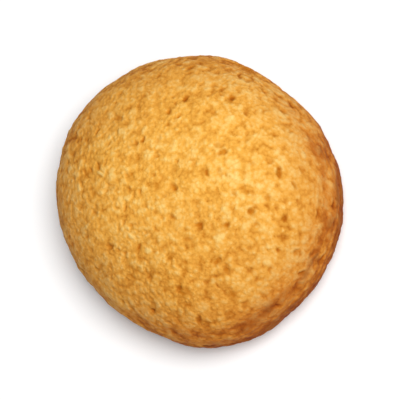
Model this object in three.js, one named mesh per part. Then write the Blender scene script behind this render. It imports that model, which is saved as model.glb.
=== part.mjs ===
// A domed oatmeal cookie, baked in one piece: a flat base, a rounded side that tucks in below, a crease where the
// crust of the crown ends, and an uneven, lumpy crown with pores.
// Millimetres, +Z up. The origin is the middle of the base, on the surface that the cookie rests on.

import * as THREE from "three";
import { mergeVertices } from "three/addons/utils/BufferGeometryUtils.js";

// Driving dimensions
const RADIUS = 30; // mean radius at the widest ring
const HEIGHT = 25; // from the base to the top of the crown
const WIDEST_AT = 8; // height of the widest ring
const BASE_RADIUS = 25; // radius of the flat base
const CROWN_FULLNESS = 2.2; // superellipse exponent of the crown: 2 is an ellipse, more is fuller
const SIDE_FULLNESS = 2.1; // the same for the side below the widest ring

// Uneven outline: each wave has a number of bulges round the rim, a height as a share of the radius, and the
// direction of one bulge in degrees
const OUTLINE_WAVES = [
  { bulges: 2, share: 0.045, towards: -45 },
  { bulges: 3, share: 0.007, towards: 30 },
  { bulges: 4, share: 0.01, towards: 3 },
  { bulges: 5, share: 0.005, towards: 0 },
];

// Lumps and crags of the dough: a typical width and a height for each size
const CRAGS = [
  { width: 15, height: 0.26, seed: 1 },
  { width: 7, height: 0.2, seed: 2 },
  { width: 3.6, height: 0.2, seed: 3 },
];

// The crease where the crust of the crown meets the side
const CREASE_AT = 13.8; // mean height
const CREASE_WAVES = 3; // times that it rises and falls on its way round
const CREASE_WANDER = 0.8; // how far it strays up and down
const CREASE_WIDTH = 1.5;
const CREASE_DEPTH = 0.3; // where it is deepest
const CREASE_LEAST = 0.3; // share of that depth where it is faintest
const CREASE_TOWARDS = -30; // direction in which it is deepest, in degrees

// The largest pores of the crown: place in the plan, and radius
const PORES = [
  { x: 21.1, y: 1.8, radius: 1.3 },
  { x: 23.9, y: -0.4, radius: 0.9 },
  { x: 10.3, y: 6, radius: 1.2 },
  { x: 11.3, y: 17.8, radius: 1.2 },
  { x: -1.3, y: 15.5, radius: 1.1 },
  { x: -2.9, y: 6.1, radius: 0.9 },
  { x: 5.6, y: -8.7, radius: 1.1 },
  { x: 10.6, y: -8.9, radius: 1.1 },
  { x: 15.8, y: -6.1, radius: 1.2 },
  { x: 21.9, y: -7.1, radius: 1 },
  { x: 8.8, y: -15.5, radius: 1.1 },
  { x: 10.6, y: -17.6, radius: 1 },
  { x: 26.9, y: -14.3, radius: 1.2 },
  { x: -6.1, y: -24.3, radius: 1.1 },
  { x: 0.6, y: -0.9, radius: 1 },
  { x: 23.5, y: -17.6, radius: 1 },
];
const PORE_DEPTH = 0.45; // as a share of the radius

// Smaller pits, spread over the crown
const PIT_COUNT = 70;
const PIT_REACH = 0.93; // share of the mean radius within which they lie
const PIT_RADIUS = [0.8, 1.2];
const PIT_DEPTH = [0.15, 0.35];
const PIT_JITTER = 1.6; // how far a pit strays from its place in the even spread
const PIT_SEED = 40;

// Below this height the relief fades out, so that the base stays flat
const RELIEF_STARTS = 0.6;
const RELIEF_FULL = 4;

// Faceting
const BALL_DETAIL = 22; // splits of each edge of the icosahedron that becomes the cookie
const BASE_SHARE = 0.2; // share of the ball's polar angle that becomes the flat base
const PROFILE_STEPS = 600; // steps that measure the profile's length

const GOLDEN_ANGLE = Math.PI * (3 - Math.sqrt(5));
const LATTICE_PRIMES = [0x9e3779b1, 0x85ebca77, 0xc2b2ae3d, 0x27d4eb2f];

// Half of the cookie's upright section, from the top of the crown at 0, over the widest ring and down the side, to
// the middle of the base at 1. A point is (distance from the axis, height).
class CookieProfile extends THREE.Curve {
  getPoint(t, target = new THREE.Vector2()) {
    const stretch = Math.min(Math.floor(t * 3), 2); // crown, side, base
    const along = t * 3 - stretch;
    const turn = (along * Math.PI) / 2;
    if (stretch === 0) {
      const power = 2 / CROWN_FULLNESS;
      const rise = (HEIGHT - WIDEST_AT) * Math.cos(turn) ** power;
      return target.set(RADIUS * Math.sin(turn) ** power, WIDEST_AT + rise);
    }
    if (stretch === 1) {
      const power = 2 / SIDE_FULLNESS;
      const bulge = (RADIUS - BASE_RADIUS) * Math.cos(turn) ** power;
      return target.set(BASE_RADIUS + bulge, WIDEST_AT * (1 - Math.sin(turn) ** power));
    }
    return target.set(BASE_RADIUS * (1 - along), 0);
  }
}

// A repeatable random number from 0 to 1 for whole numbers: the same numbers always give the same value.
function latticeValue(x, y, z, seed) {
  const [a, b, c, d] = LATTICE_PRIMES;
  let bits = Math.imul(x, a) ^ Math.imul(y, b) ^ Math.imul(z, c) ^ Math.imul(seed, d);
  bits = Math.imul(bits ^ (bits >>> 15), b);
  bits = Math.imul(bits ^ (bits >>> 13), c);
  return ((bits ^ (bits >>> 16)) >>> 0) / 2 ** 32;
}

// Smooth random height from -1 to 1 at a point: the values of the eight lattice points round it, blended.
function cragHeight(point, width, seed) {
  const place = point.clone().divideScalar(width);
  const cell = place.clone().floor();
  const blend = place.sub(cell).toArray().map((t) => t * t * (3 - 2 * t));
  let height = 0;
  for (let corner = 0; corner < 8; corner += 1) {
    const step = [corner & 1, (corner >> 1) & 1, (corner >> 2) & 1];
    const weight = step.reduce((w, on, axis) => w * (on ? blend[axis] : 1 - blend[axis]), 1);
    height += weight * latticeValue(cell.x + step[0], cell.y + step[1], cell.z + step[2], seed);
  }
  return 2 * height - 1;
}

// The outline's radius in a direction, as a share of the mean radius.
function outlineShare(turn) {
  return OUTLINE_WAVES.reduce((share, wave) => {
    const towards = THREE.MathUtils.degToRad(wave.towards);
    return share + wave.share * Math.cos(wave.bulges * (turn - towards));
  }, 1);
}

// The even surface at a share of the profile's length and a direction, and its outward normal there.
function evenSurface(profile, share, turn) {
  const section = profile.getPointAt(share);
  const tangent = profile.getTangentAt(share);
  const reach = section.x * outlineShare(turn);
  const point = new THREE.Vector3(reach * Math.cos(turn), reach * Math.sin(turn), section.y);
  const normal = new THREE.Vector3(-tangent.y * Math.cos(turn), -tangent.y * Math.sin(turn), tangent.x);
  return { point, normal: normal.normalize() };
}

// The point of the even crown over a place in the plan.
function crownPoint(x, y) {
  const away = Math.hypot(x, y) / (RADIUS * outlineShare(Math.atan2(y, x)));
  const rise = (1 - Math.min(away, 1) ** CROWN_FULLNESS) ** (1 / CROWN_FULLNESS);
  return new THREE.Vector3(x, y, WIDEST_AT + (HEIGHT - WIDEST_AT) * rise);
}

// The hollows of the crown: the large pores, and small pits on a golden-angle spiral, each moved and sized by seeded
// draws.
function makeHollows() {
  const pores = PORES.map(({ x, y, radius }) => ({ centre: crownPoint(x, y), radius, depth: PORE_DEPTH * radius }));
  const pits = Array.from({ length: PIT_COUNT }, (_, i) => {
    const draw = (n) => latticeValue(i, n, 0, PIT_SEED);
    const reach = RADIUS * PIT_REACH * Math.sqrt((i + 0.5) / PIT_COUNT);
    const turn = i * GOLDEN_ANGLE;
    const x = reach * Math.cos(turn) + PIT_JITTER * (2 * draw(0) - 1);
    const y = reach * Math.sin(turn) + PIT_JITTER * (2 * draw(1) - 1);
    const radius = THREE.MathUtils.lerp(...PIT_RADIUS, draw(2));
    const depth = THREE.MathUtils.lerp(...PIT_DEPTH, draw(3));
    return { centre: crownPoint(x, y), radius, depth };
  });
  return [...pores, ...pits];
}

// Depth of the hollows at a point: each is round and fades out smoothly at its rim.
function hollowDepth(point, hollows) {
  return hollows.reduce((deepest, { centre, radius, depth }) => {
    const away = Math.min(point.distanceTo(centre) / radius, 1);
    return Math.max(deepest, depth * (1 - away * away) ** 2);
  }, 0);
}

// Depth of the crease at a point: a groove that wanders up and down on its way round the side, deepest on one side.
function creaseDepth(point, turn) {
  const fromDeepest = turn - THREE.MathUtils.degToRad(CREASE_TOWARDS);
  const level = CREASE_AT - CREASE_WANDER * Math.cos(CREASE_WAVES * fromDeepest);
  const away = (point.z - level) / CREASE_WIDTH;
  const share = THREE.MathUtils.lerp(CREASE_LEAST, 1, (1 + Math.cos(fromDeepest)) / 2);
  return CREASE_DEPTH * share * Math.exp(-away * away);
}

// How far the surface stands out from its even shape at a point.
function relief(point, turn, hollows) {
  const crags = CRAGS.reduce((sum, crag) => sum + crag.height * cragHeight(point, crag.width, crag.seed), 0);
  const fade = THREE.MathUtils.smoothstep(point.z, RELIEF_STARTS, RELIEF_FULL);
  return fade * (crags - creaseDepth(point, turn) - hollowDepth(point, hollows));
}

// A ball of small triangles drawn out to the cookie's profile, with the relief raised on it and its box centred.
function makeCookieGeometry() {
  const profile = new CookieProfile();
  profile.arcLengthDivisions = PROFILE_STEPS;
  const lengths = profile.getLengths();
  const baseStarts = lengths[(2 * PROFILE_STEPS) / 3] / profile.getLength(); // after the crown and the side
  const hollows = makeHollows();

  const ball = new THREE.IcosahedronGeometry(1, BALL_DETAIL);
  ball.deleteAttribute("normal");
  ball.deleteAttribute("uv");
  const geometry = mergeVertices(ball);
  const position = geometry.getAttribute("position");
  const vertex = new THREE.Vector3();
  for (let i = 0; i < position.count; i += 1) {
    vertex.fromBufferAttribute(position, i).normalize();
    const turn = Math.atan2(vertex.y, vertex.x);
    const polar = Math.acos(THREE.MathUtils.clamp(vertex.z, -1, 1)) / Math.PI;
    const onBase = (polar - (1 - BASE_SHARE)) / BASE_SHARE;
    const share = onBase > 0
      ? baseStarts + onBase * (1 - baseStarts)
      : (polar / (1 - BASE_SHARE)) * baseStarts;
    const { point, normal } = evenSurface(profile, Math.min(share, 1), turn);
    point.addScaledVector(normal, relief(point, turn, hollows));
    position.setXYZ(i, point.x, point.y, point.z);
  }
  geometry.computeBoundingBox();
  const middle = geometry.boundingBox.getCenter(new THREE.Vector3());
  geometry.translate(-middle.x, -middle.y, 0);
  geometry.computeVertexNormals();
  return geometry;
}

const crust = new THREE.MeshStandardMaterial({ color: 0xe2a24c, roughness: 0.85, metalness: 0 });
const cookie = new THREE.Mesh(makeCookieGeometry(), crust);
cookie.name = "cookie";

const group = new THREE.Group();
group.add(cookie);

export default group;
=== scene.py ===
# An oatmeal cookie, baked in one piece: a golden, crumbly, pored crown, a browner side below its shoulder
# that is also darkened with painted shade, and a flat, browned base. Shapes are worked out in millimetres
# and put into the mesh in metres.

import math
from types import SimpleNamespace

import bpy
import numpy as np
from mathutils import Euler, Matrix, Vector


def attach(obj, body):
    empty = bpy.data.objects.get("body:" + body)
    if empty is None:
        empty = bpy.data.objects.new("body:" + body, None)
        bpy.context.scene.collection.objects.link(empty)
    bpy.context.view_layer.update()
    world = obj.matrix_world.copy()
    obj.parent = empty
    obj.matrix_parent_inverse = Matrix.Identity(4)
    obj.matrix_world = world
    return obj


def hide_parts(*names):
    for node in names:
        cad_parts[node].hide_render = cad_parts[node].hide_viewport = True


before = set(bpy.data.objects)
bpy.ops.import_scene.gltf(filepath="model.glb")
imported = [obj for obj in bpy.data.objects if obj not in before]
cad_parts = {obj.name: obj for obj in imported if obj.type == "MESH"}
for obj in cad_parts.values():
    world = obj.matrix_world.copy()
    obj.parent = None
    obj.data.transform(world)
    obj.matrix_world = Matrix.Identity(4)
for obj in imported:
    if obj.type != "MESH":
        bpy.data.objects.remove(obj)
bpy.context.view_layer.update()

MM = 0.001  # metres in a millimetre

# Even form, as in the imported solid
RADIUS = 30.0  # mean radius at the widest ring
HEIGHT = 25.0  # from the base to the top of the crown
WIDEST_AT = 8.0  # height of the widest ring
BASE_RADIUS = 25.0  # radius of the flat base
CROWN_FULLNESS = 2.2  # superellipse exponent of the crown
SIDE_FULLNESS = 2.1  # the same for the side below the widest ring
OUTLINE_WAVES = (  # bulges round the rim, height as a share of the radius, direction of one bulge in degrees
    (2, 0.045, -45.0),
    (3, 0.007, 30.0),
    (4, 0.010, 3.0),
    (5, 0.005, 0.0),
)

# Lumps, crease and hollows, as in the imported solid
CRAGS = ((15.0, 0.26, 1), (7.0, 0.2, 2), (3.6, 0.2, 3))  # width, height, seed
CREASE_AT = 13.8  # mean height of the crease where the crust of the crown meets the side
CREASE_WAVES = 3  # times that it rises and falls on its way round
CREASE_WANDER = 0.8  # how far it strays up and down
CREASE_WIDTH = 1.5
CREASE_DEPTH = 0.3  # where it is deepest
CREASE_LEAST = 0.3  # share of that depth where it is faintest
CREASE_TOWARDS = -30.0  # direction in which it is deepest, in degrees
PORES = (  # the largest pores: place in the plan, and radius
    (21.1, 1.8, 1.3), (23.9, -0.4, 0.9), (10.3, 6.0, 1.2), (11.3, 17.8, 1.2), (-1.3, 15.5, 1.1),
    (-2.9, 6.1, 0.9), (5.6, -8.7, 1.1), (10.6, -8.9, 1.1), (15.8, -6.1, 1.2), (21.9, -7.1, 1.0),
    (8.8, -15.5, 1.1), (10.6, -17.6, 1.0), (26.9, -14.3, 1.2), (-6.1, -24.3, 1.1), (0.6, -0.9, 1.0),
    (23.5, -17.6, 1.0),
)
PORE_DEPTH = 0.45  # as a share of the radius
PIT_COUNT = 70
PIT_REACH = 0.93  # share of the mean radius within which the smaller pits lie
PIT_RADIUS = (0.8, 1.2)  # least and greatest
PIT_DEPTH = (0.15, 0.35)  # least and greatest
PIT_JITTER = 1.6  # how far a pit strays from its place in the even spread
PIT_SEED = 40
ROUND_MIDDLE = 0.1  # share of a hollow's or grain's radius over which it keeps its full size
RELIEF_SPAN = (0.6, 4.0)  # heights between which the relief sets in, so that the base stays flat

# Crumb of the crust
CRUMB_BEND = (1.5, 0.4, 21)  # width, reach and seed of the bends that make the crumb uneven
HOLLOW_BEND = (1.4, 0.65, 397)  # the same, of those that make the hollows uneven
CRUMBS = (  # width, height, weight in the tone and seed of smooth lumps
    (3.8, 0.06, 0.08, 10),
    (2.0, 0.07, 0.15, 11),
    (1.3, 0.06, 0.11, 12),
    (0.8, 0.03, 0.02, 13),
)
GRAINS = (  # spacing, share in the relief and seed of the grains that fill the crust
    (2.0, 0.55, 81),
    (1.15, 0.5, 82),
)
GRAIN_REACH = 0.62  # distance from a grain's middle, in spacings, at which its height has fallen to 0
GRAIN_MEAN = 0.17  # mean height of the grains, as a share of their full height
GRAIN_HEIGHT = 0.12
GRAIN_TONE = 0.25  # weight of a grain's pale top in the tone
GRAIN_SHADE = 0.12  # how far one grain's tone may differ from the mean
DENTS = ((1.6, 1.0, 17), (0.85, 0.6, 18))  # width, weight and seed of the noises that make uneven dents
DENT_CLUSTERS = (4.5, 0.5, 34)  # the same, of the noise that draws the dents together
GAP_PULL = 0.6  # how far the dents gather in the gaps between grains
DENT_SPAN = (0.45, 1.75)  # noise at which a dent starts, and is deepest
DENT_DEPTH = 0.27
PALE_CRUMBS = (2.0, 0.6, (0.45, 0.85), (0.04, 0.16), 45)  # spacing, share of cells, radii, heights, seed
PALE_GRAINS = (  # the palest grains: place in the plan, and radius
    (-5.0, -12.9, 1.1), (9.8, -10.9, 1.4), (-8.9, -9.7, 0.8), (7.8, -19.2, 1.0), (25.3, 6.0, 1.2),
)
PALE_GRAIN_HEIGHT = 0.16
PATCHES = (9.0, 31)  # width and seed of the patches in which the crumb is coarser
PATCH_RELIEF = 0.4  # how far the crumb's height differs from patch to patch, as a share of it
PATCH_TONE = 0.3  # the same for its tone
SIDE_SPAN = (16.0, 11.0)  # heights between which the lines that run along the side set in
LINE_SIZE = (5.5, 5.5, 1.1)  # length, length, width
LINE_HEIGHT = 0.16
LINE_SEED = 51
BASE_PITS = (3.2, 0.5, (0.6, 1.5), (0.15, 0.5), 71)  # spacing, share of cells, radii, depths, seed

# Tone of the crust, and the darkness of its hollows: browner crumb and painted shade
TONE_MEAN = 0.4
PALE_TONE = 3.2  # tone for each millimetre that a pale grain stands out
LINE_TONE = 0.45
BLOTCHES = (  # width, weight and seed of broad pale and dark parts
    (9.0, 0.13, 4762),
    (7.0, 0.07, 3956),
    (5.5, 0.07, 3230),
)
ROUGH_SPAN = (18.5, 14.0)  # heights between which the crumb gets rougher towards the side
ROUGH_TONE = 0.6  # how much stronger its tone is there
ROUGH_DENTS = 0.15  # how much darker its dents are there
DENT_BROWN_AND_SHADE = 0.8  # darkness of the deepest dent, browner crumb and painted shade together
DARK_DEPTH = 0.5  # depth at which a hollow is darkest
BASE_DARK_DEPTH = 0.5  # the same for a pit of the base
PORE_SPAN = (1.0, 4.0)  # heights between which hollows start to show

# Browning, and painted shade on the shoulder, foot, sides and seam
SHOULDER_SPAN = (25.0, 14.0)  # heights between which the crown turns into the shoulder, browner and darkened with painted shade where it turns from the light
SHOULDER_BAKE_AND_SHADE = 0.56
SHADE_TILT = 0.05  # slope of the height from which the browning starts, so that painted shade reaches higher on the side turned from the light
SHADE_TILT_TOWARDS = 160.0  # direction in which it starts highest, in degrees
FOOT_SPAN = (13.0, 2.0)  # heights between which the browner foot sets in, darkened also with painted shade near the floor
FOOT_BAKE_AND_SHADE = 0.42
CROWN_BAKE = 0.2
BAKED_TOWARDS = -95.0  # direction in which the crown is browned most, in degrees
CROWN_BAKE_SPAN = (-0.15, 0.55)  # shares of the radius in that direction between which it sets in
CROWN_BAKE_LOST = 0.7  # share of it that the shoulder doesn't add to its own
SIDES_BAKED_AND_SHADED = ((0.0, 0.26), (-65.0, 0.19))  # directions in which the side is darkened more, partly browning and partly painted shade, and how much more
SHADED_SIDE_SPAN = (0.75, 1.0)  # cosines of the angle from such a direction between which it sets in
SEAM_BEND = (1.9, 0.9, 27)  # width, reach and seed of the bends in the seam along the crease, browner and darkened with painted shade
SEAM_SHARPNESS = 1.5  # exponent of the crease's section that gives the seam
SEAM_BREAKS = (3.4, 0.5, 64)  # width, weight and seed of what breaks it up
SEAM_BAKE_AND_SHADE = 0.1
LINE_BAKE = 0.2
BAKE_BLOTCHES = (7.0, 0.08, 2988)  # width, weight and seed of browner and paler parts
BAKE_BLOTCHES_MORE = 0.04  # further weight of them on the shoulder
BAKE_SPECKS = (2.4, 0.07, 63)  # width, weight and seed of small ones on the shoulder
BASE_BAKE = 0.85
BASE_BLOTCHES = (9.0, 0.2, 62)  # width, weight and seed of those on the base

# Colours of the crust, each with its place on a scale from 0 to 1
CRUMB_COLOURS = ((0.02, (0.60, 0.215, 0.013)), (0.5, (0.89, 0.435, 0.066)), (0.98, (0.98, 0.66, 0.21)))
# browning and painted shade: the stop at 0.5 darkens nearly evenly, like shade; the deeper stops are browner
BROWNING_AND_SHADE = (
    (0.0, (1.0, 1.0, 1.0)),
    (0.5, (0.80, 0.71, 0.67)),
    (0.75, (0.71, 0.53, 0.42)),
    (0.9, (0.54, 0.32, 0.20)),
    (1.0, (0.36, 0.17, 0.07)),
)
# browner crumb and painted shade in hollows and dents, deepening with their depth
PORE_BROWN_AND_SHADE = ((0.0, (1.0, 1.0, 1.0)), (0.7, (0.72, 0.54, 0.22)), (1.0, (0.60, 0.40, 0.12)))

# Sand and grit of the crust, finer than the mesh
SAND_WIDTH = 0.9
SAND_TONE = 0.46  # how far the tone falls from the middle of a sandy grain to a spacing away
GRIT_WIDTH = 0.42
GRIT_DETAIL = 4.0
GRIT_ROUGHNESS = 0.65  # weight of each finer layer of the grit next to the one before
GRIT_TONE = 0.6
BUMP_HEIGHT = 0.2
ROUGHNESS_SPREAD = (0.7, 0.92)  # the shader's roughness where the grit is lowest, and where it is highest
SPECULAR = 0.1

# Mesh
BALL_CELLS = 127  # squares along each edge of the cube that becomes a ball
BASE_SHARE = 0.2  # share of the ball's polar angle that becomes the flat base
SECTION_STEPS = 900  # in each of the section's three parts

# Random draws
GOLDEN_ANGLE = math.pi * (3.0 - math.sqrt(5.0))
LATTICE_PRIMES = np.array([0x9E3779B1, 0x85EBCA77, 0xC2B2AE3D, 0x27D4EB2F], np.uint32)
MIX_SHIFTS = np.array([15, 13, 16], np.uint32)  # how far the bits of a draw are shifted, mixing by mixing
LATTICE_TURN = np.array(Euler((0.55, 0.4, 0.7)).to_matrix())  # tips a lattice, so that its rows don't show
CORNERS = np.array([[i & 1, i >> 1 & 1, i >> 2 & 1] for i in range(8)])
NEIGHBOURS = np.array([[i % 3 - 1, i // 3 % 3 - 1, i // 9 - 1] for i in range(27)])
SLOPE_SEEDS = 7  # step from one gradient noise's seeds to the next one's
BALL_SEEDS = 11  # the same for lattices of balls and grains
RADIUS_SEED = 3  # which of a ball's seeds is for its radius, after the three for its place
CHANCE_SEED = 4  # which one is for the chance that it is there
SIZE_SEED = 5  # which one is for its size
SHADE_SEED = 4  # which of a grain's seeds is for its shade
SLOPE_GAIN = 1.8  # brings the heights of gradient noise to about -1 to 1

# Camera, light and floor
CAMERA_ELEVATION = 69.0  # degrees
CAMERA_TOWARDS = -30.0  # direction, in the plan, of the side that faces the camera, in degrees
CAMERA_DISTANCE = 450.0
CAMERA_TARGET = (0.9, -0.2, 9.7)
FRAME_WIDTH = 82.0  # at the target
SENSOR_WIDTH = 36.0
SUN_UP = 0.2  # how far the light stands above the camera, as a share of its distance
SUN_RIGHT = 0.09  # the same to its right
SUN_SPREAD = 40.0  # degrees
SUN_STRENGTH = 3.4
WORLD_STRENGTH = 0.14
BACKDROP_WHITE = 0.97
FLOOR_WHITE = 0.94
FLOOR_REACH = 30.0  # metres


def smoothstep(low, high, value):
    """0 on the side of low, 1 on the side of high, and a smooth S between them: 3 t^2 - 2 t^3."""
    t = np.clip((value - low) / (high - low), 0.0, 1.0)
    return t * t * (3.0 - 2.0 * t)


def lattice_draw(cell, seed):
    """A repeatable random number from 0 to 1 for each whole-number place. Its three coordinates and the
    seed, each times a large odd number, are joined by exclusive or. The bits are then joined with
    themselves, shifted, three times, and multiplied by a large odd number after the first two."""
    whole = cell.astype(np.int64).astype(np.uint32)
    bits = np.bitwise_xor.reduce(whole * LATTICE_PRIMES[:3], axis=-1)
    bits = bits ^ (np.array([seed], np.uint32) * LATTICE_PRIMES[3:])
    bits = (bits ^ (bits >> MIX_SHIFTS[0])) * LATTICE_PRIMES[1]
    bits = (bits ^ (bits >> MIX_SHIFTS[1])) * LATTICE_PRIMES[2]
    return (bits ^ (bits >> MIX_SHIFTS[2])) / 2.0**32


def lattice_vector(cell, seed):
    """Three draws for each place, side by side, from three seeds in a row."""
    return np.stack([lattice_draw(cell, seed + axis) for axis in range(3)], axis=1)


def corner_blend(points, width):
    """For each of the eight lattice corners round a point: the corner's place, the point's offset from it,
    in widths, and the corner's weight, a product of smoothsteps."""
    place = points / width
    cell = np.floor(place)
    blend = smoothstep(0.0, 1.0, place - cell)
    for corner in CORNERS:
        weight = np.prod(np.where(corner, blend, 1.0 - blend), axis=1)
        yield cell + corner, place - cell - corner, weight


def value_noise(points, width, seed):
    """Smooth random height from -1 to 1: the draws of the lattice corners round a point, blended."""
    blended = sum(weight * lattice_draw(corner, seed) for corner, _, weight in corner_blend(points, width))
    return 2.0 * blended - 1.0


def gradient_noise(points, width, seed):
    """Smooth random height, about -1 to 1, that is 0 at every lattice corner: each corner has a random
    slope, and the slopes' heights at a point are blended."""
    height = np.zeros(len(points))
    for corner, offset, weight in corner_blend(points, width):
        slope = 2.0 * lattice_vector(corner, seed * SLOPE_SEEDS) - 1.0
        height += weight * np.sum(slope * offset, axis=1)
    return SLOPE_GAIN * height


def layered(noise, points, layers):
    """Sum of one kind of noise at several sizes. A layer is a width, a weight and a seed."""
    return sum(weight * noise(points, width, seed) for width, weight, seed in layers)


def warped(points, width, reach, seed):
    """The points moved by up to about reach along each axis, each axis by a smooth noise of its own."""
    moves = [value_noise(points @ LATTICE_TURN, width, seed + axis) for axis in range(3)]
    return points + reach * np.stack(moves, axis=1)


def scattered_rounds(points, spacing, share, radii, sizes, seed):
    """Size, at each point, of many scattered rounds. Each cell of a cubic lattice holds one ball with a
    chance of share, at a random place, with a random radius and a random size. The size is full at a ball's
    middle and fades to 0 at its rim, and the largest holds where balls overlap."""
    cell = np.floor(points / spacing)
    largest = np.zeros(len(points))
    first = seed * BALL_SEEDS
    for step in NEIGHBOURS:
        near = cell + step
        middle = (near + lattice_vector(near, first)) * spacing
        radius = radii[0] + (radii[1] - radii[0]) * lattice_draw(near, first + RADIUS_SEED)
        here = lattice_draw(near, first + CHANCE_SEED) < share
        size = sizes[0] + (sizes[1] - sizes[0]) * lattice_draw(near, first + SIZE_SEED)
        away = np.linalg.norm(points - middle, axis=1) / radius
        largest = np.maximum(largest, here * size * smoothstep(1.0, 0.0, away))
    return largest


def crumb_grains(points, spacing, seed):
    """Grains that fill the crust, one round a random place in each cell of a cubic lattice. A point belongs
    to the nearest place. Its height is 1 less the square of the distance over the grain's reach, and its
    shade, from -1 to 1, is a draw for the whole grain."""
    place = points / spacing
    cell = np.floor(place)
    nearest = np.full(len(points), np.inf)
    shade = np.zeros(len(points))
    first = seed * BALL_SEEDS
    for step in NEIGHBOURS:
        near = cell + step
        away = np.linalg.norm(place - near - lattice_vector(near, first), axis=1)
        shade = np.where(away < nearest, lattice_draw(near, first + SHADE_SEED), shade)
        nearest = np.minimum(nearest, away)
    return 1.0 - (nearest / GRAIN_REACH) ** 2, 2.0 * shade - 1.0


def rounds_at(points, middles, radii, sizes):
    """Size of the given rounds at each point: full at a middle, fading to 0 at the rim, the largest where
    they meet."""
    largest = np.zeros(len(points))
    for middle, radius, size in zip(middles, radii, sizes):
        away = np.linalg.norm(points - middle, axis=1) / radius
        largest = np.maximum(largest, size * smoothstep(1.0, ROUND_MIDDLE, away))
    return largest


def ball_grid(cells):
    """Directions of a ball's vertices, and its quads. Each of a cube's six sides is a grid of cells x cells
    squares over two parameters. A lattice step i stands at tan(45 degrees * (2 i / cells - 1)), so that the
    squares spread evenly once every point is pushed out to length 1. Points of two sides that share a place
    are one vertex."""
    steps = np.arange(cells + 1)
    u, v = np.meshgrid(steps, steps, indexing="ij")
    sides = []
    quads = []
    for axis in range(3):
        for level in (0, cells):
            place = np.empty((cells + 1, cells + 1, 3), np.int64)
            place[..., axis] = level
            place[..., (axis + 1) % 3] = u
            place[..., (axis + 2) % 3] = v
            index = np.arange(u.size).reshape(u.shape) + len(sides) * u.size
            loop = (index[:-1, :-1], index[1:, :-1], index[1:, 1:], index[:-1, 1:])
            quad = np.stack(loop if level else loop[::-1], axis=-1)
            sides.append(place.reshape(-1, 3))
            quads.append(quad.reshape(-1, 4))
    places, merged = np.unique(np.concatenate(sides), axis=0, return_inverse=True)
    cube = np.tan(np.pi / 4 * (2.0 * places / cells - 1.0))
    direction = cube / np.linalg.norm(cube, axis=1, keepdims=True)
    return direction, merged.reshape(-1)[np.concatenate(quads)]


def cookie_section():
    """The cookie's upright half section: its length so far, its distances from the axis, its heights, and
    the length at which the base starts. The crown and the side are quarters of superellipses, and the base
    is a straight line to the axis."""
    turn = np.linspace(0.0, np.pi / 2, SECTION_STEPS + 1)
    crown = 2.0 / CROWN_FULLNESS
    side = 2.0 / SIDE_FULLNESS
    reach = np.concatenate([
        RADIUS * np.sin(turn) ** crown,
        BASE_RADIUS + (RADIUS - BASE_RADIUS) * np.cos(turn[1:]) ** side,
        BASE_RADIUS * (1.0 - turn[1:] / turn[-1]),
    ])
    height = np.concatenate([
        WIDEST_AT + (HEIGHT - WIDEST_AT) * np.cos(turn) ** crown,
        WIDEST_AT * (1.0 - np.sin(turn[1:]) ** side),
        np.zeros(SECTION_STEPS),
    ])
    length = np.concatenate([[0.0], np.cumsum(np.hypot(np.diff(reach), np.diff(height)))])
    return length, reach, height, length[2 * SECTION_STEPS]


def outline_share(turn):
    """The outline's radius in a direction, as a share of the mean radius: 1 plus a few cosine waves."""
    return 1.0 + sum(high * np.cos(bulges * (turn - math.radians(at))) for bulges, high, at in OUTLINE_WAVES)


def even_surface(direction):
    """The cookie without relief, at each direction of a ball: points, outward normals, directions in the
    plan and a mask of the base. The polar angle is a length along the section, and the longitude is the
    direction in the plan."""
    length, reach, height, base_at = cookie_section()
    polar = np.arccos(np.clip(direction[:, 2], -1.0, 1.0)) / np.pi
    turn = np.arctan2(direction[:, 1], direction[:, 0])
    top_share = 1.0 - BASE_SHARE
    on_base = polar > top_share
    along = np.where(
        on_base,
        base_at + (polar - top_share) / BASE_SHARE * (length[-1] - base_at),
        polar / top_share * base_at,
    )
    away = np.interp(along, length, reach) * outline_share(turn)
    z = np.interp(along, length, height)
    points = np.stack([away * np.cos(turn), away * np.sin(turn), z], axis=1)
    slope_out = np.interp(along, length, np.gradient(reach, length))
    slope_up = np.interp(along, length, np.gradient(height, length))
    normal = np.stack([-slope_up * np.cos(turn), -slope_up * np.sin(turn), slope_out], axis=1)
    normal /= np.linalg.norm(normal, axis=1, keepdims=True)
    return points, normal, turn, on_base


def crown_points(x, y):
    """The points of the even crown over places in the plan: the superellipse's height at their share of the
    outline."""
    away = np.hypot(x, y) / (RADIUS * outline_share(np.arctan2(y, x)))
    rise = (1.0 - np.minimum(away, 1.0) ** CROWN_FULLNESS) ** (1.0 / CROWN_FULLNESS)
    return np.stack([x, y, WIDEST_AT + (HEIGHT - WIDEST_AT) * rise], axis=1)


def crown_hollows():
    """Middles, radii and depths of the crown's hollows: the large pores, and pits on a golden-angle spiral,
    whose distance from the axis grows with the square root of their number. Each pit is moved and sized by
    seeded draws."""
    x, y, radius = np.array(PORES).T
    index = np.arange(PIT_COUNT)
    zero = np.zeros_like(index)
    draws = [lattice_draw(np.stack([index, zero + n, zero], axis=1), PIT_SEED) for n in range(4)]
    reach = RADIUS * PIT_REACH * np.sqrt((index + 0.5) / PIT_COUNT)
    pit_x = reach * np.cos(index * GOLDEN_ANGLE) + PIT_JITTER * (2.0 * draws[0] - 1.0)
    pit_y = reach * np.sin(index * GOLDEN_ANGLE) + PIT_JITTER * (2.0 * draws[1] - 1.0)
    pit_radius = PIT_RADIUS[0] + (PIT_RADIUS[1] - PIT_RADIUS[0]) * draws[2]
    pit_depth = PIT_DEPTH[0] + (PIT_DEPTH[1] - PIT_DEPTH[0]) * draws[3]
    middles = np.concatenate([crown_points(x, y), crown_points(pit_x, pit_y)])
    depths = np.concatenate([PORE_DEPTH * radius, pit_depth])
    return middles, np.concatenate([radius, pit_radius]), depths


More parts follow.
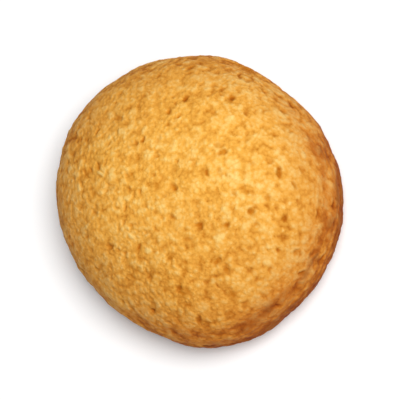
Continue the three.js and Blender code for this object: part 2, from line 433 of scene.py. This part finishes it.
def crease_depth(points, turn):
    """A groove with a bell-shaped section, exp(-t^2), which wanders up and down round the side and is
    deepest on one side."""
    from_deepest = turn - math.radians(CREASE_TOWARDS)
    level = CREASE_AT - CREASE_WANDER * np.cos(CREASE_WAVES * from_deepest)
    share = CREASE_LEAST + (1.0 - CREASE_LEAST) * (1.0 + np.cos(from_deepest)) / 2.0
    return CREASE_DEPTH * share * np.exp(-(((points[:, 2] - level) / CREASE_WIDTH) ** 2))


def crust_forms(points, turn):
    """The forms of the crust at each point of the even surface.

    Crags are smooth lumps, and the crease, the hollows and the pits of the base are depths. Grains fill the
    crust. A dent is where a sum of noises, less the grains' height, is high. The crumb is the height of
    grains and finer lumps, and its tone the same with other weights and with each grain's own shade. Pale
    grains stand out, lines run along the side, patches make the crumb coarser or finer, and specks are
    browner or paler."""
    bent = warped(points, *CRUMB_BEND)
    tilted = bent @ LATTICE_TURN

    filling = [crumb_grains(tilted, spacing, seed) for spacing, _, seed in GRAINS]
    grain_top = sum(share * top for (_, share, _), (top, _) in zip(GRAINS, filling)) - GRAIN_MEAN
    grain_shade = sum(shade for _, shade in filling) / len(filling)
    hollowed = layered(gradient_noise, tilted, DENTS) + layered(value_noise, points, [DENT_CLUSTERS])
    lumps = [gradient_noise(tilted, width, seed) for width, _, _, seed in CRUMBS]
    lump_height = sum(high * lump for (_, high, _, _), lump in zip(CRUMBS, lumps))
    lump_tone = sum(weight * lump for (_, _, weight, _), lump in zip(CRUMBS, lumps))

    pale_x, pale_y, pale_radius = np.array(PALE_GRAINS).T
    pale_height = np.full(len(PALE_GRAINS), PALE_GRAIN_HEIGHT)
    pale = rounds_at(bent, crown_points(pale_x, pale_y), pale_radius, pale_height)
    side = smoothstep(*SIDE_SPAN, points[:, 2])
    return SimpleNamespace(
        crags=layered(value_noise, points, CRAGS),
        crease=crease_depth(points, turn),
        hollow=rounds_at(warped(points, *HOLLOW_BEND), *crown_hollows()),
        base_pits=scattered_rounds(bent, *BASE_PITS),
        dent=smoothstep(*DENT_SPAN, hollowed - GAP_PULL * grain_top),
        crumb=GRAIN_HEIGHT * grain_top + lump_height,
        crumb_tone=GRAIN_TONE * grain_top + GRAIN_SHADE * grain_shade + lump_tone,
        pale=np.maximum(pale, scattered_rounds(tilted, *PALE_CRUMBS)),
        lines=side * gradient_noise(bent / np.array(LINE_SIZE), 1.0, LINE_SEED),
        patch=value_noise(points, *PATCHES),
        specks=layered(value_noise, bent, [BAKE_SPECKS]),
    )


def crust_relief(forms, z, on_base):
    """How far the surface stands out from its even shape: crags, crumb, pale grains and lines, less the
    crease and the deeper of hollows and dents. On the base only pits go in, so that it stays flat."""
    relief = forms.crags - forms.crease - np.maximum(forms.hollow, DENT_DEPTH * forms.dent)
    relief += (1.0 + PATCH_RELIEF * forms.patch) * forms.crumb + forms.pale + LINE_HEIGHT * forms.lines
    return np.where(on_base, -forms.base_pits, smoothstep(*RELIEF_SPAN, z) * relief)


def crust_tone(forms, points):
    """Tone of the crust, low where it is deep and brown, high where it is raised and pale: crumb and pale
    grains, stronger in coarse patches and towards the side, with lines and broad blotches."""
    rough = smoothstep(*ROUGH_SPAN, points[:, 2])
    contrast = 1.0 + PATCH_TONE * forms.patch + ROUGH_TONE * rough
    tone = contrast * (forms.crumb_tone + PALE_TONE * forms.pale) + LINE_TONE * forms.lines
    return TONE_MEAN + tone + layered(value_noise, points, BLOTCHES)


def crust_pore_brown_and_shade(forms, z, on_base):
    """Darkness of hollows and dents from 0 to 1, in proportion to their depth, with dents darker towards the
    side: browner crumb and painted shade in them."""
    dents = (DENT_BROWN_AND_SHADE + ROUGH_DENTS * smoothstep(*ROUGH_SPAN, z)) * forms.dent
    pores = smoothstep(*PORE_SPAN, z) * np.maximum(forms.hollow / DARK_DEPTH, dents)
    return np.clip(np.where(on_base, forms.base_pits / BASE_DARK_DEPTH, pores), 0.0, 1.0)


def crust_browning_and_shade(forms, points, turn, on_base):
    """Browning and painted shade from 0 to 1: the sum of a shoulder whose start is tilted, a foot, one half
    of the crown, two directions of the side, a broken seam along the crease, lines, blotches and specks. The
    shoulder, foot, sides and seam are partly browning and partly painted shade, and the tilt raises the
    shade on the side turned from the light. The base is browned all over, with blotches of its own."""
    x, y, z = points.T
    tilt = math.radians(SHADE_TILT_TOWARDS)
    level = z - SHADE_TILT * (x * math.cos(tilt) + y * math.sin(tilt))
    shoulder = smoothstep(*SHOULDER_SPAN, level)
    towards = np.cos(turn - math.radians(BAKED_TOWARDS)) * np.hypot(x, y) / RADIUS
    bake = SHOULDER_BAKE_AND_SHADE * shoulder + FOOT_BAKE_AND_SHADE * smoothstep(*FOOT_SPAN, z)
    bake += CROWN_BAKE * (1.0 - CROWN_BAKE_LOST * shoulder) * smoothstep(*CROWN_BAKE_SPAN, towards)
    for at, more in SIDES_BAKED_AND_SHADED:
        bake += more * shoulder * smoothstep(*SHADED_SIDE_SPAN, np.cos(turn - math.radians(at)))

    seam = (crease_depth(warped(points, *SEAM_BEND), turn) / CREASE_DEPTH) ** SEAM_SHARPNESS
    seam *= 1.0 + layered(value_noise, points, [SEAM_BREAKS])
    bake += SEAM_BAKE_AND_SHADE * seam + LINE_BAKE * forms.lines + shoulder * forms.specks
    width, weight, seed = BAKE_BLOTCHES
    bake += (weight + BAKE_BLOTCHES_MORE * shoulder) * value_noise(points, width, seed)
    base = BASE_BAKE + layered(value_noise, points, [BASE_BLOTCHES])
    return np.clip(np.where(on_base, base, bake), 0.0, 1.0)


def cookie_surface():
    """Vertices, quads and surface values of the cookie: the relief stands along the even shape's normal, and
    the middle of the box is put on the axis."""
    direction, quads = ball_grid(BALL_CELLS)
    even, normal, turn, on_base = even_surface(direction)
    z = even[:, 2]
    forms = crust_forms(even, turn)
    points = even + normal * crust_relief(forms, z, on_base)[:, None]
    middle = (points.min(0) + points.max(0)) / 2
    points[:, :2] -= middle[:2]
    values = {
        "tone": crust_tone(forms, even),
        "pore": crust_pore_brown_and_shade(forms, z, on_base),
        "bake": crust_browning_and_shade(forms, even, turn, on_base),
    }
    return points, quads, values


def mesh_piece(name, points, quads, values, material):
    """An object whose mesh has these points, in millimetres, these quads, smooth faces and one float per
    vertex for each of the values."""
    mesh = bpy.data.meshes.new(name)
    mesh.from_pydata((points * MM).tolist(), [], quads.tolist())
    mesh.polygons.foreach_set("use_smooth", np.ones(len(quads), bool))
    for key, numbers in values.items():
        mesh.attributes.new(key, "FLOAT", "POINT").data.foreach_set("value", numbers.astype(np.float32))
    mesh.materials.append(material)
    mesh.update()
    piece = bpy.data.objects.new(name, mesh)
    bpy.context.scene.collection.objects.link(piece)
    return piece


def crust_material():
    """Golden crust: a ramp of the crumb's tone with sandy grains and fine grit, times the browning and
    painted shade, and times the browner crumb and painted shade of pores. The grit also sets the roughness,
    and sand and grit the bump."""
    material = bpy.data.materials.new("golden_crust")
    material.use_nodes = True
    nodes = material.node_tree.nodes
    links = material.node_tree.links
    shader = nodes["Principled BSDF"]

    def surface_value(name):
        """A value that the mesh has at its vertices, blended across its faces."""
        node = nodes.new("ShaderNodeAttribute")
        node.attribute_name = name
        return node.outputs["Fac"]

    def product_plus(value, factor, more):
        """A value times a fixed factor, plus another value."""
        node = nodes.new("ShaderNodeMath")
        node.operation = "MULTIPLY_ADD"
        links.new(value, node.inputs[0])
        node.inputs[1].default_value = factor
        links.new(more, node.inputs[2])
        return node.outputs[0]

    def ramp(value, stops):
        """The colour at a value's place on a scale of stops, blended evenly from one stop to the next."""
        node = nodes.new("ShaderNodeValToRGB")
        marks = node.color_ramp.elements
        while len(marks) < len(stops):
            marks.new(0.5)
        for mark, (place, colour) in zip(marks, stops):
            mark.position = place
            mark.color = (*colour, 1.0)
        links.new(value, node.inputs["Fac"])
        return node.outputs["Color"]

    def multiplied(colour, other):
        """The product of two colours, channel by channel. Inputs 6 and 7 and output 2 of the mix node are
        its sockets for colours, and input 0 is the share of the mix."""
        node = nodes.new("ShaderNodeMix")
        node.data_type = "RGBA"
        node.blend_type = "MULTIPLY"
        node.inputs[0].default_value = 1.0
        links.new(colour, node.inputs[6])
        links.new(other, node.inputs[7])
        return node.outputs[2]

    place = nodes.new("ShaderNodeTexCoord").outputs["Object"]
    sand = nodes.new("ShaderNodeTexVoronoi")
    sand.inputs["Scale"].default_value = 1.0 / (SAND_WIDTH * MM)
    links.new(place, sand.inputs["Vector"])
    from_grain = sand.outputs["Distance"]
    grit_noise = nodes.new("ShaderNodeTexNoise")
    grit_noise.inputs["Scale"].default_value = 1.0 / (GRIT_WIDTH * MM)
    grit_noise.inputs["Detail"].default_value = GRIT_DETAIL
    grit_noise.inputs["Roughness"].default_value = GRIT_ROUGHNESS
    links.new(place, grit_noise.inputs["Vector"])
    grit = grit_noise.outputs["Fac"]

    tone = product_plus(from_grain, -SAND_TONE, product_plus(grit, GRIT_TONE, surface_value("tone")))
    # the crumb's colour times the browning and painted shade
    browned_and_shaded = multiplied(ramp(tone, CRUMB_COLOURS), ramp(surface_value("bake"), BROWNING_AND_SHADE))
    pored = multiplied(browned_and_shaded, ramp(surface_value("pore"), PORE_BROWN_AND_SHADE))
    links.new(pored, shader.inputs["Base Color"])

    roughness = nodes.new("ShaderNodeMapRange")
    roughness.inputs["To Min"].default_value, roughness.inputs["To Max"].default_value = ROUGHNESS_SPREAD
    links.new(grit, roughness.inputs["Value"])
    links.new(roughness.outputs["Result"], shader.inputs["Roughness"])

    bump = nodes.new("ShaderNodeBump")
    bump.inputs["Strength"].default_value = 1.0
    bump.inputs["Distance"].default_value = BUMP_HEIGHT * MM
    links.new(product_plus(from_grain, -1.0, grit), bump.inputs["Height"])
    links.new(bump.outputs["Normal"], shader.inputs["Normal"])
    shader.inputs["Specular IOR Level"].default_value = SPECULAR
    return material


def floor_material():
    """Plain matt white."""
    material = bpy.data.materials.new("pale_floor")
    material.use_nodes = True
    shader = material.node_tree.nodes["Principled BSDF"]
    shader.inputs["Base Color"].default_value = (FLOOR_WHITE, FLOOR_WHITE, FLOOR_WHITE, 1.0)
    shader.inputs["Roughness"].default_value = 1.0
    shader.inputs["Specular IOR Level"].default_value = 0.0
    return material


def studio_floor():
    """One large square, level with the cookie's base."""
    corners = [(x * FLOOR_REACH, y * FLOOR_REACH, 0.0) for x, y in ((-1, -1), (1, -1), (1, 1), (-1, 1))]
    mesh = bpy.data.meshes.new("floor")
    mesh.from_pydata(corners, [], [(0, 1, 2, 3)])
    mesh.materials.append(floor_material())
    floor = bpy.data.objects.new("floor", mesh)
    bpy.context.scene.collection.objects.link(floor)
    return floor


def view_axes():
    """The camera's right, up and backward directions: backward from its elevation and its direction in the
    plan, and up as near as can be to +Y."""
    elevation = math.radians(CAMERA_ELEVATION)
    towards = math.radians(CAMERA_TOWARDS)
    level = math.cos(elevation)
    back = Vector((level * math.cos(towards), level * math.sin(towards), math.sin(elevation)))
    right = Vector((0.0, 1.0, 0.0)).cross(back).normalized()
    return right, back.cross(right), back


def photo_camera(right, up, back):
    """A camera that looks at the target from its distance, and whose frame is as wide there as it is set
    to be."""
    lens = bpy.data.cameras.new("camera")
    lens.sensor_width = SENSOR_WIDTH
    lens.lens = SENSOR_WIDTH * CAMERA_DISTANCE / FRAME_WIDTH
    camera = bpy.data.objects.new("camera", lens)
    turned = Matrix((right, up, back)).transposed().to_4x4()
    place = (Vector(CAMERA_TARGET) + back * CAMERA_DISTANCE) * MM
    camera.matrix_world = Matrix.Translation(place) @ turned
    bpy.context.scene.collection.objects.link(camera)
    return camera


def key_light(right, up, back):
    """A soft sun above the camera and a little to its right: it shines from the direction of the camera plus
    shares of up and right."""
    sun = bpy.data.lights.new("key", "SUN")
    sun.energy = SUN_STRENGTH
    sun.angle = math.radians(SUN_SPREAD)
    lamp = bpy.data.objects.new("key", sun)
    lamp.rotation_euler = (back + up * SUN_UP + right * SUN_RIGHT).to_track_quat("Z", "Y").to_euler()
    bpy.context.scene.collection.objects.link(lamp)


def studio_world():
    """Dim, even white light from all round. Where the camera looks past the floor, it sees a pale backdrop
    like the floor."""
    world = bpy.data.worlds.new("soft_light")
    world.use_nodes = True
    nodes = world.node_tree.nodes
    links = world.node_tree.links
    light = nodes["Background"]
    light.inputs["Color"].default_value = (1.0, 1.0, 1.0, 1.0)
    light.inputs["Strength"].default_value = WORLD_STRENGTH
    backdrop = nodes.new("ShaderNodeBackground")
    backdrop.inputs["Color"].default_value = (BACKDROP_WHITE, BACKDROP_WHITE, BACKDROP_WHITE, 1.0)
    choice = nodes.new("ShaderNodeMixShader")
    links.new(nodes.new("ShaderNodeLightPath").outputs["Is Camera Ray"], choice.inputs["Fac"])
    links.new(light.outputs["Background"], choice.inputs[1])
    links.new(backdrop.outputs["Background"], choice.inputs[2])
    links.new(choice.outputs["Shader"], nodes["World Output"].inputs["Surface"])
    return world


axes = view_axes()
bpy.context.scene.camera = photo_camera(*axes)
key_light(*axes)
bpy.context.scene.world = studio_world()
bpy.context.scene.view_settings.view_transform = "Standard"
studio_floor()

cookie = mesh_piece("cookie_crust", *cookie_surface(), crust_material())
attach(cookie, "root")
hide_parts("cookie")
